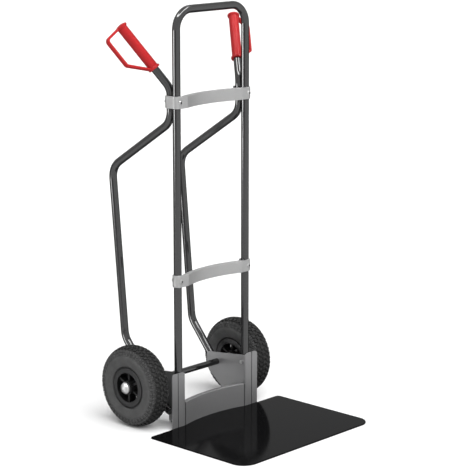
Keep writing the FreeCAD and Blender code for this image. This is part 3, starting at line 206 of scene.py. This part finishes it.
def shade(colour, gain=1.0):
    """A colour with its brightness changed, ready for a colour socket."""
    return (colour[0] * gain, colour[1] * gain, colour[2] * gain, 1.0)


# ---------------------------------------------------------------- finishes

def powder_coat(name, colour, roughness, shine):
    """Thick stoved paint: a faint orange peel and slow changes of gloss."""
    paint = Nodes(name, Specular_IOR_Level=shine)
    paint.colour(paint.tint(paint.noise(scale=9.0, detail=2.0), colour, 0.08))
    paint.rough(paint.noise(scale=30.0), roughness * 0.85, roughness * 1.15)
    paint.bump(paint.noise(scale=900.0, detail=1.0), strength=0.05, distance=0.0002)
    return paint.material


def sheet_paint(name, colour, roughness, metal):
    """Metallic paint on folded sheet: fine flake, with painted shade in the groove and a painted shadow
    along the seams, and painted shade that darkens it low down.
    """
    paint = Nodes(name, Metallic=metal)
    flake = paint.remap(paint.noise(scale=2600.0, detail=1.0), 0.35, 0.65, 0.0, 1.0)
    across, back, height = paint.axes()
    across = paint.math("ABSOLUTE", across)
    # Painted shade: the groove on the flange front and the seam by the kick panel are darkened in the
    # colour, standing in for the shadow in them.
    off_line = paint.math("ABSOLUTE", paint.math("SUBTRACT", across, GROOVE_SIDE))
    unshaded = paint.math("MAXIMUM", paint.rise(off_line, GROOVE_HALF * 0.8, GROOVE_HALF),
                      paint.rise(back, FLANGE_FRONT + GROOVE_HALF, FLANGE_FRONT + 2 * GROOVE_HALF))
    seam = paint.math("ABSOLUTE", paint.math("SUBTRACT", across, SEAM_SIDE - SEAM_HALF))
    unshaded = paint.math("MINIMUM", unshaded, paint.rise(seam, SEAM_HALF * 0.8, SEAM_HALF))
    tint = paint.darken(paint.tint(flake, colour, 0.07), unshaded, CREASE_SHADE_GREY)
    # Painted shade: the colour darkens towards the foot of the plates, where shade falls.
    paint.colour(paint.darken(tint, paint.rise(height, SHADE_FADE_LOW, SHADE_FADE_HIGH), LOW_SHADE_GREY))
    paint.rough(paint.noise(scale=14.0), roughness * 0.85, roughness * 1.2)
    paint.bump(paint.noise(scale=500.0, detail=2.0), strength=0.06, distance=0.0002)
    return paint.material


def satin_metal(name, colour, roughness, grain, metal=1.0):
    """Bare or plated metal with a fine grain along one axis."""
    alloy = Nodes(name, Metallic=metal)
    streaks = alloy.noise(scale=420.0, stretch=grain)
    alloy.colour(alloy.tint(streaks, colour, 0.1))
    alloy.rough(streaks, roughness * 0.8, roughness * 1.2)
    alloy.bump(streaks, strength=0.08, distance=0.0001)
    return alloy.material


def socket_metal(name, colour, roughness, centres, radius):
    """Plated screws with painted shade in their hex sockets: centres are the screws' axes in the XZ plane.
    """
    alloy = Nodes(name, Metallic=1.0)
    across, _, height = alloy.axes()
    across = alloy.math("ABSOLUTE", across)
    nearest = alloy.math("MINIMUM", *(alloy.distance(across, height, x, z) for x, z in centres))
    # Painted shade: inside the socket radius the colour is near black.
    alloy.colour(alloy.blend(alloy.rise(nearest, radius * 0.9, radius), shade(colour, 0.02), shade(colour)))
    alloy.rough(alloy.noise(scale=400.0), roughness * 0.85, roughness * 1.15)
    return alloy.material


def moulded(name, colour, roughness, shine=0.5, dish=None):
    """Moulded plastic with a fine spark-eroded grain; dish is the radius of a recess round the axle that is
    darkened with painted shade.
    """
    skin = Nodes(name, Specular_IOR_Level=shine)
    tint = skin.tint(skin.noise(scale=22.0, detail=4.0), colour, 0.12)
    if dish:
        # Painted shade: the colour darkens inside the recess round the axle.
        tint = skin.darken(tint, skin.rise(skin.from_axle(), dish * 0.97, dish), DISH_SHADE_GREY)
    skin.colour(tint)
    skin.rough(skin.noise(scale=60.0), roughness * 0.88, roughness * 1.12)
    skin.bump(skin.noise(scale=1.0 / GRAIN_SIZE, detail=2.0), strength=0.15, distance=GRAIN_SIZE * 0.3)
    return skin.material


def tyre_rubber(name, colour):
    """Tyre rubber: mat, greyer where dust lies, with a fine mould texture."""
    skin = Nodes(name, Specular_IOR_Level=0.2)
    dust = skin.noise(scale=35.0, detail=6.0, roughness=0.65)
    tint = skin.blend(skin.remap(dust, 0.35, 0.7, 0.0, 1.0), shade(colour, 0.85), shade(colour, 1.25))
    sidewall = skin.remap(skin.from_axle(), TYRE_RADIUS * 0.90, TYRE_RADIUS * 0.94, 1.0, 0.0, "SMOOTHSTEP")
    skin.colour(skin.darken(tint, sidewall, TREAD_GREY))
    skin.rough(dust, 0.62, 0.82)
    skin.bump(skin.noise(scale=1400.0), strength=0.25, distance=0.0003)
    return skin.material


# ---------------------------------------------------------------- mesh helpers

def new_piece(name, mesh, body, material, replaced):
    """A new piece that rides on a body in place of CAD nodes."""
    piece = bpy.data.objects.new(name, mesh)
    bpy.context.scene.collection.objects.link(piece)
    mesh.materials.append(material)
    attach(piece, body)
    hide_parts(*replaced)


def smooth(mesh):
    mesh.polygons.foreach_set("use_smooth", [True] * len(mesh.polygons))


def turned(mesh_maker, profile, steps):
    """Add a closed section turned about the X axis: its points are (x, radius)."""
    rings = []
    for step in range(steps):
        angle = 2 * math.pi * step / steps
        rings.append([mesh_maker.verts.new((x, r * math.cos(angle), r * math.sin(angle)))
                      for x, r in profile])
    count = len(profile)
    for step in range(steps):
        here, there = rings[step], rings[(step + 1) % steps]
        for index in range(count):
            after = (index + 1) % count
            mesh_maker.faces.new((here[index], here[after], there[after], there[index]))


# ---------------------------------------------------------------- tyres

RING_HEIGHT, RING_WIDTH = 0.0006, 0.0012
TREAD_FADE_START, TREAD_FADE_END = 0.050, 0.058
BEAD_LIP, BEAD_NECK, BEAD_FACE, BEAD_BACK, BEAD_SEAT = 0.0300, 0.0250, 0.0302, 0.0220, 0.0511
HOLLOW_RADIUS = 0.118
BLOCK_CELLS = 3
BLOCK_DRAFT = 1.2


class TyreShape:
    """The outside of a tyre's section: a crown arc and two sidewall arcs, in metres from its centre."""

    def __init__(self, settings):
        self.radius = TYRE_RADIUS
        drop = self.radius - settings.shoulder_radius
        self.crown = (settings.shoulder_side ** 2 + drop ** 2) / (2 * drop)
        self.crown_length = self.crown * math.asin(settings.shoulder_side / self.crown)
        self.side_radius = settings.sidewall_curve
        foot = Vector((settings.bead_side, settings.bead_radius))
        top = Vector((settings.shoulder_side, settings.shoulder_radius))
        chord = top - foot
        inward = Vector((-chord.y, chord.x)).normalized()
        rise = math.sqrt(self.side_radius ** 2 - chord.length_squared / 4)
        self.side_centre = (foot + top) / 2 + inward * rise
        self.side_start = math.atan2(top.y - self.side_centre.y, top.x - self.side_centre.x)
        side_end = math.atan2(foot.y - self.side_centre.y, foot.x - self.side_centre.x)
        self.side_length = self.side_radius * (self.side_start - side_end)

    def point(self, across, lift=0.0):
        """(x, radius) at a distance from the tread's middle along the section, lifted off it by lift."""
        sign = -1 if across < 0 else 1
        reach = abs(across)
        if reach <= self.crown_length:
            turn = reach / self.crown
            x = (self.crown + lift) * math.sin(turn)
            r = self.radius - self.crown + (self.crown + lift) * math.cos(turn)
        else:
            turn = self.side_start - (reach - self.crown_length) / self.side_radius
            x = self.side_centre.x + (self.side_radius + lift) * math.cos(turn)
            r = self.side_centre.y + (self.side_radius + lift) * math.sin(turn)
        return sign * x, r

    def on_wheel(self, across, around, lift=0.0):
        x, r = self.point(across, lift)
        return Vector((x, r * math.cos(around), r * math.sin(around)))


def tread_block(maker, shape, corners, depth, outer_depth, pitch, bevel):
    """One tread block: a crowned top on a bevelled, drafted wall.

    The corners are (across, around) in metres and pitches. The top falls from depth at the block's
    inner edge to outer_depth at its outer edge, above the bottom of the grooves.
    """
    cells = BLOCK_CELLS
    fall = outer_depth - depth

    def place(u, v, spread, lift):
        near_a, far_a = corners[0], corners[1]
        near_b, far_b = corners[3], corners[2]
        first = (near_a[0] + (far_a[0] - near_a[0]) * u, near_a[1] + (far_a[1] - near_a[1]) * u)
        second = (near_b[0] + (far_b[0] - near_b[0]) * u, near_b[1] + (far_b[1] - near_b[1]) * u)
        across = first[0] + (second[0] - first[0]) * v
        around = first[1] + (second[1] - first[1]) * v
        across += spread * (2 * u - 1) * math.copysign(1, corners[1][0] - corners[0][0])
        around += spread * (2 * v - 1) / (pitch * TYRE_RADIUS)
        return shape.on_wheel(across, around * pitch, lift)

    top = [[maker.verts.new(place(u / cells, v / cells, -bevel, fall * (u / cells)))
            for u in range(cells + 1)] for v in range(cells + 1)]
    for v in range(cells):
        for u in range(cells):
            maker.faces.new((top[v][u], top[v][u + 1], top[v + 1][u + 1], top[v + 1][u]))
    rim = ([(u, 0) for u in range(cells)] + [(cells, v) for v in range(cells)]
           + [(u, cells) for u in range(cells, 0, -1)] + [(0, v) for v in range(cells, 0, -1)])
    previous = [top[v][u] for u, v in rim]
    for spread, drop in ((0.0, bevel), (bevel * BLOCK_DRAFT, depth + bevel)):
        ring = [maker.verts.new(place(u / cells, v / cells, spread, fall * (u / cells) - drop))
                for u, v in rim]
        for index in range(len(rim)):
            after = (index + 1) % len(rim)
            maker.faces.new((previous[index], previous[after], ring[after], ring[index]))
        previous = ring
    maker.faces.new(previous)


def block_rows(settings):
    """Rows of tread blocks on one side: (corners in metres and pitches, inner depth, outer depth)."""
    depth = settings.tread_depth
    return (
        (((0.0012, 0.04), (0.0125, 0.24), (0.0125, 0.78), (0.0012, 0.58)), depth, depth),
        (((0.0150, 0.62), (0.0262, 0.44), (0.0262, 0.98), (0.0150, 1.16)), depth, depth),
        (((0.0288, 0.06), (0.0405, 0.16), (0.0405, 0.66), (0.0288, 0.58)), depth, depth * 0.95),
        (((0.0424, 0.18), (0.0560, 0.22), (0.0560, 0.60), (0.0424, 0.66)), depth * 0.95, depth * 0.35),
        (((0.0330, 0.76), (0.0505, 0.78), (0.0505, 0.97), (0.0330, 0.96)), depth * 0.8, depth * 0.3),
    )


def tyre_outline(shape, settings):
    """The tyre's closed section: the outside below the blocks, the beads and the bottom of the hollow."""
    edge = shape.crown_length + shape.side_length
    rings = (settings.ring_outer, settings.ring_inner)
    outer = []
    for index in range(settings.section_steps + 1):
        across = -edge + 2 * edge * index / settings.section_steps
        reach = abs(across)
        fade = (reach - TREAD_FADE_START) / (TREAD_FADE_END - TREAD_FADE_START)
        sunk = 1.0 - min(1.0, max(0.0, fade))
        ring = sum(RING_HEIGHT * math.exp(-((reach - place) / RING_WIDTH) ** 2) for place in rings)
        outer.append(shape.point(across, -settings.tread_depth * sunk + ring))
    bead = [(BEAD_LIP, 0.0680), (BEAD_NECK, 0.0670), (BEAD_NECK, 0.0600), (BEAD_FACE, 0.0590),
            (BEAD_FACE, BEAD_SEAT), (BEAD_BACK, BEAD_SEAT), (BEAD_BACK, 0.0680)]
    return outer + bead + [(0.0, HOLLOW_RADIUS)] + [(-x, r) for x, r in reversed(bead)]


def tyre_mesh(name, settings):
    shape = TyreShape(settings)
    maker = bmesh.new()
    turned(maker, tyre_outline(shape, settings), settings.tyre_steps)
    pitch = 2 * math.pi / settings.pitches
    for number in range(settings.pitches):
        for hand in (-1, 1):
            shift = number + (0.5 if hand < 0 else 0.0)
            for corners, inside, outside in block_rows(settings):
                placed = [(hand * across, around + shift) for across, around in corners]
                tread_block(maker, shape, placed, inside, outside, pitch, settings.block_bevel)
    bmesh.ops.recalc_face_normals(maker, faces=maker.faces)
    bmesh.ops.translate(maker, verts=maker.verts, vec=WHEEL_CENTRE[name])
    mesh = bpy.data.meshes.new(f"{name}_tyre_tread")
    maker.to_mesh(mesh)
    maker.free()
    smooth(mesh)
    return mesh


# ---------------------------------------------------------------- room

# Degrees round the room, anticlockwise from the camera's side, as (from, to, soft edge)
FRONT_WALL = (-80, 100, 14)
WALL_GAP = (-44, -8, 6)
STRIP_LIGHT = (-80, -60, 3)
# Heights as the sine of the elevation
WALL_FOOT = (-0.185, -0.150)
HORIZON = (-0.03, 0.03)
SOFT_BOX = (0.80, 0.88, 0.03)
GAP_DEPTH = 0.8
UPPER_WALL = 0.4
BOX_BEHIND = 0.1

FLOOR_RADIUS = 70.0
FLOOR_DROP = 0.0005
LIGHT_SPREAD = math.radians(70)
LIGHT_TURN = (math.radians(38), math.radians(-12), 0.0)
VIEW_FAR = 200.0


def room_light(settings):
    """Even white light, with soft boxes, a strip light and dark walls that only glossy surfaces show."""
    world = bpy.data.worlds.new("studio")
    world.use_nodes = True
    graph = Graph(world.node_tree)
    room = world.node_tree.nodes["Background"]
    room.inputs["Color"].default_value = (1.0, 1.0, 1.0, 1.0)
    turn = graph.add("ShaderNodeMapping")
    turn.inputs["Rotation"].default_value = (0.0, 0.0, math.pi / 2 + settings.heading)
    graph.join(graph.add("ShaderNodeTexCoord").outputs["Generated"], turn.inputs["Vector"])
    split = graph.add("ShaderNodeSeparateXYZ")
    graph.join(turn.outputs["Vector"], split.inputs["Vector"])
    side, level = split.outputs["Y"], split.outputs["Z"]
    around = graph.math("ARCTAN2", side, split.outputs["X"])
    front = graph.band(around, *map(math.radians, FRONT_WALL))
    upper = graph.rise(level, *WALL_FOOT)
    gap = graph.band(around, *map(math.radians, WALL_GAP))
    strip = graph.band(around, *map(math.radians, STRIP_LIGHT))
    low_wall = graph.math("MULTIPLY_ADD", front, settings.wall, settings.dark)
    low_wall = graph.math("MULTIPLY", low_wall, graph.math(
        "SUBTRACT", 1.0, graph.math("MULTIPLY", graph.math("MULTIPLY", gap, upper), GAP_DEPTH)))
    low_wall = graph.math("MULTIPLY_ADD", graph.math("MULTIPLY", strip, upper), settings.strip, low_wall)
    box = graph.math("MULTIPLY", graph.band(level, *SOFT_BOX),
                     graph.math("MULTIPLY_ADD", front, 1 - BOX_BEHIND, BOX_BEHIND))
    high_wall = graph.math("MULTIPLY_ADD", front, UPPER_WALL * settings.wall, settings.back)
    high_wall = graph.math("MULTIPLY_ADD", box, settings.soft_box, high_wall)
    mix = graph.add("ShaderNodeMix", data_type="FLOAT")
    graph.join(graph.rise(level, *HORIZON), mix.inputs["Factor"])
    graph.join(low_wall, mix.inputs[2])
    graph.join(high_wall, mix.inputs[3])
    seen = graph.add("ShaderNodeMix", data_type="FLOAT")
    graph.join(graph.add("ShaderNodeLightPath").outputs["Is Glossy Ray"], seen.inputs["Factor"])
    seen.inputs[2].default_value = settings.sky
    graph.join(mix.outputs["Result"], seen.inputs[3])
    graph.join(seen.outputs["Result"], room.inputs["Strength"])
    return world


# ---------------------------------------------------------------- settings

def length(name, default, description):
    return bpy.props.FloatProperty(name=name, default=default, unit="LENGTH", precision=4,
                                   description=description)


def strength(name, default, description):
    return bpy.props.FloatProperty(name=name, default=default, min=0, description=description)


def paint(name, default, description):
    return bpy.props.FloatVectorProperty(name=name, default=default, subtype="COLOR", size=3, min=0, max=1,
                                         description=description)


class TyreSettings(bpy.types.PropertyGroup):
    shoulder_side: length("Shoulder", 0.031, "Tread's shoulder from the middle of the wheel")
    shoulder_radius: length("Shoulder radius", 0.120, "Radius of the wheel at the shoulder")
    sidewall_curve: length("Sidewall curve", 0.053, "Radius of the sidewall's curve")
    bead_side: length("Bead", 0.0335, "Foot of the sidewall from the middle of the wheel")
    bead_radius: length("Bead radius", 0.0682, "Radius of the wheel at the foot of the sidewall")
    tread_depth: length("Tread depth", 0.0038, "Depth of the grooves between the tread blocks")
    block_bevel: length("Block bevel", 0.0006, "Rounded edge of a tread block")
    ring_outer: length("Outer ring", 0.0640, "Raised ring on the sidewall, along the section")
    ring_inner: length("Inner ring", 0.0870, "Raised ring near the bead, along the section")
    pitches: bpy.props.IntProperty(name="Pitches", default=48, min=12, max=90,
                                   description="Tread blocks round the tyre in each row")
    tyre_steps: bpy.props.IntProperty(name="Steps", default=192, min=24, max=720,
                                      description="Facets round the tyre")
    section_steps: bpy.props.IntProperty(name="Section steps", default=76, min=16, max=300,
                                         description="Facets along the tyre's section")


class FinishSettings(bpy.types.PropertyGroup):
    tube: paint("Tubes", (0.013, 0.013, 0.0135), "Black powder coat of the tubes")
    toe_plate: paint("Toe plate", (0.004, 0.004, 0.0043), "Gloss black of the toe plate")
    cheek: paint("Cheeks", (0.225, 0.225, 0.228), "Grey paint of the cheek plates and the kick panel")
    crossbar: paint("Crossbars", (0.345, 0.345, 0.345), "Satin grey of the crossbars")
    grip: paint("Grips", (0.36, 0.008, 0.010), "Red plastic of the grips")
    tyre: paint("Tyres", (0.060, 0.060, 0.060), "Tyre rubber")
    rim: paint("Rims", (0.015, 0.015, 0.0155), "Moulded rims")
    zinc: paint("Zinc", (0.52, 0.52, 0.52), "Zinc plate of the fasteners and the axle caps")


class StudioSettings(bpy.types.PropertyGroup):
    floor: paint("Floor", (0.93, 0.93, 0.93), "Plain pale floor")
    sun: strength("Main light", 3.2, "Strength of the main soft light")
    sky: strength("Room light", 0.55, "Strength of the room's light")
    wall: strength("Wall", 1.05, "Bright wall in reflections")
    dark: strength("Dark wall", 0.05, "Dark wall in reflections")
    back: strength("Back wall", 0.55, "Wall above the horizon")
    strip: strength("Strip", 11.0, "Strip light in reflections")
    soft_box: strength("Soft box", 13.0, "Overhead soft box")
    focal: length("Focal length", 0.1383, "Focal length on a 36 mm sensor")
    eye: bpy.props.FloatVectorProperty(name="Camera place", default=(-4.003, -3.843, 1.797), size=3,
                                       subtype="TRANSLATION", description="Where the camera stands")
    heading: bpy.props.FloatProperty(name="Heading", default=math.radians(46.92), subtype="ANGLE",
                                     description="Camera's turn from the +Y axis towards +X")
    tilt: bpy.props.FloatProperty(name="Tilt", default=math.radians(-12.24), subtype="ANGLE",
                                  description="Camera's tilt above the horizon")


# ---------------------------------------------------------------- operators

def dress(material, *names):
    """Give CAD nodes one material in place of the plain one they came with."""
    for name in names:
        mesh = NODES[name].data
        mesh.materials.clear()
        mesh.materials.append(material)


def both(*words):
    return [f"{name}_{word}" for word in words for name in SIDES]


class TRUCK_OT_tubes(bpy.types.Operator):
    """Black powder coat on the hoop, the skid tubes and the axle"""
    bl_idname = "truck.tubes"
    bl_label = "Tubes"

    def execute(self, context):
        finish = context.scene.truck_finish
        dress(powder_coat("tube_powder_coat", finish.tube, 0.10, 0.8), "front_frame", *both("skid_tube"))
        dress(powder_coat("axle_coat", shade(finish.tube, 0.12)[:3], 0.05, 1.0), "axle", "axle_collars")
        return {"FINISHED"}


class TRUCK_OT_plates(bpy.types.Operator):
    """Paint on the cheeks, the kick panel and the toe plate"""
    bl_idname = "truck.plates"
    bl_label = "Plates"

    def execute(self, context):
        finish = context.scene.truck_finish
        dress(sheet_paint("cheek_paint", finish.cheek, 0.38, 0.35), *both("cheek_plate"), "kick_panel")
        dress(powder_coat("toe_plate_coat", finish.toe_plate, 0.10, 0.03), "toe_plate")
        return {"FINISHED"}


class TRUCK_OT_crossbars(bpy.types.Operator):
    """Satin metal on the crossbars"""
    bl_idname = "truck.crossbars"
    bl_label = "Crossbars"

    def execute(self, context):
        finish = context.scene.truck_finish
        dress(satin_metal("crossbar_metal", finish.crossbar, 0.50, (0.12, 1.0, 1.0), 0.55),
              "upper_crossbar", "lower_crossbar")
        return {"FINISHED"}


class TRUCK_OT_grips(bpy.types.Operator):
    """Red moulded plastic on the grips"""
    bl_idname = "truck.grips"
    bl_label = "Grips"

    def execute(self, context):
        finish = context.scene.truck_finish
        dress(moulded("grip_plastic", finish.grip, 0.42, 0.3), *both("grip"))
        return {"FINISHED"}


class TRUCK_OT_tyres(bpy.types.Operator):
    """Tyres with block tread in place of the plain rings"""
    bl_idname = "truck.tyres"
    bl_label = "Tyres"

    def execute(self, context):
        rubber = tyre_rubber("tyre_rubber", context.scene.truck_finish.tyre)
        for name in SIDES:
            mesh = tyre_mesh(name, context.scene.truck_tyre)
            new_piece(f"{name}_tyre_tread", mesh, f"{name}_wheel", rubber, [f"{name}_tyre"])
        return {"FINISHED"}


class TRUCK_OT_rims(bpy.types.Operator):
    """Moulded rims, valves and hub parts"""
    bl_idname = "truck.rims"
    bl_label = "Rims"

    def execute(self, context):
        finish = context.scene.truck_finish
        dress(moulded("rim_plastic", finish.rim, 0.5, 0.3, dish=RIM_DISH_RADIUS),
              *both("rim_outer_half", "rim_inner_half"))
        dress(moulded("butyl", BUTYL, 0.6), *both("inner_tube", "valve_stem", "valve_cap"))
        dress(moulded("black_plastic", BLACK_PLASTIC, 0.45), *both("roller_cage"),
              "upright_plugs", "skid_tube_plugs")
        dress(satin_metal("bearing_steel", BEARING_STEEL, 0.25, (0.1, 1.0, 1.0)),
              *both("hub_sleeve", "rollers"))
        return {"FINISHED"}


class TRUCK_OT_hardware(bpy.types.Operator):
    """Zinc plate on the fasteners and the axle caps"""
    bl_idname = "truck.hardware"
    bl_label = "Hardware"

    def execute(self, context):
        finish = context.scene.truck_finish
        dress(satin_metal("axle_cap_zinc", finish.zinc, 0.50, (1.0, 1.0, 1.0)), *both("axle_cap"))
        dress(satin_metal("fastener_zinc", finish.zinc, 0.35, (1.0, 1.0, 1.0)),
              "axle_washers", "collar_grub_screws", "crossbar_nuts", "cheek_bolts",
              "cheek_nuts", "skid_tube_bolts", "skid_tube_nuts", "kick_panel_rivets", "toe_plate_screws",
              "toe_plate_nuts", *both("rim_bolts", "rim_nuts"))
        low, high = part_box("crossbar_screws")
        side = high.x - BUTTON_RADIUS
        centres = [(side, high.z - BUTTON_RADIUS), (side, low.z + BUTTON_RADIUS)]
        dress(socket_metal("button_screw_zinc", finish.zinc, 0.3, centres, SOCKET_RADIUS), "crossbar_screws")
        return {"FINISHED"}


class TRUCK_OT_studio(bpy.types.Operator):
    """Plain pale floor, soft light and the camera"""
    bl_idname = "truck.studio"
    bl_label = "Studio"

    def execute(self, context):
        settings = context.scene.truck_studio
        scene = context.scene
        maker = bmesh.new()
        bmesh.ops.create_circle(maker, cap_ends=True, radius=FLOOR_RADIUS, segments=96)
        mesh = bpy.data.meshes.new("floor")
        maker.to_mesh(mesh)
        maker.free()
        floor = bpy.data.objects.new("floor", mesh)
        floor.location.z = -FLOOR_DROP
        scene.collection.objects.link(floor)
        ground = Nodes("floor_paint", Roughness=0.9, Specular_IOR_Level=0.1)
        ground.colour(ground.tint(ground.noise(scale=0.8), settings.floor, 0.005))
        mesh.materials.append(ground.material)
        floor.visible_glossy = False

        scene.world = room_light(settings)

        sun = bpy.data.lights.new("main_light", "SUN")
        sun.energy = settings.sun
        sun.angle = LIGHT_SPREAD
        lamp = bpy.data.objects.new("main_light", sun)
        lamp.rotation_euler = LIGHT_TURN
        lamp.visible_glossy = False
        scene.collection.objects.link(lamp)

        camera_data = bpy.data.cameras.new("camera")
        camera_data.sensor_width = 36.0
        camera_data.lens = settings.focal * 1000
        camera = bpy.data.objects.new("camera", camera_data)
        camera.location = settings.eye
        camera.rotation_euler = (math.pi / 2 + settings.tilt, 0.0, -settings.heading)
        camera_data.clip_end = VIEW_FAR
        scene.collection.objects.link(camera)
        scene.camera = camera
        scene.view_settings.view_transform = "Standard"
        return {"FINISHED"}


class TRUCK_PT_panel(bpy.types.Panel):
    """The builders in the sidebar"""
    bl_label = "Hand truck"
    bl_idname = "TRUCK_PT_panel"
    bl_space_type = "VIEW_3D"
    bl_region_type = "UI"
    bl_category = "Hand truck"

    def draw(self, context):
        for operator in OPERATORS:
            self.layout.operator(operator.bl_idname)


OPERATORS = (TRUCK_OT_tubes, TRUCK_OT_plates, TRUCK_OT_crossbars, TRUCK_OT_grips, TRUCK_OT_tyres,
             TRUCK_OT_rims, TRUCK_OT_hardware, TRUCK_OT_studio)
SETTINGS = {"truck_tyre": TyreSettings, "truck_finish": FinishSettings, "truck_studio": StudioSettings}


def register():
    for group in SETTINGS.values():
        bpy.utils.register_class(group)
    for operator in OPERATORS:
        bpy.utils.register_class(operator)
    bpy.utils.register_class(TRUCK_PT_panel)
    for name, group in SETTINGS.items():
        setattr(bpy.types.Scene, name, bpy.props.PointerProperty(type=group))


def unregister():
    for name in SETTINGS:
        delattr(bpy.types.Scene, name)
    bpy.utils.unregister_class(TRUCK_PT_panel)
    for cls in (*OPERATORS, *SETTINGS.values()):
        bpy.utils.unregister_class(cls)


def main():
    register()
    for operator in OPERATORS:
        group, call = operator.bl_idname.split(".")
        getattr(getattr(bpy.ops, group), call)()


if __name__ == "__main__":
    main()
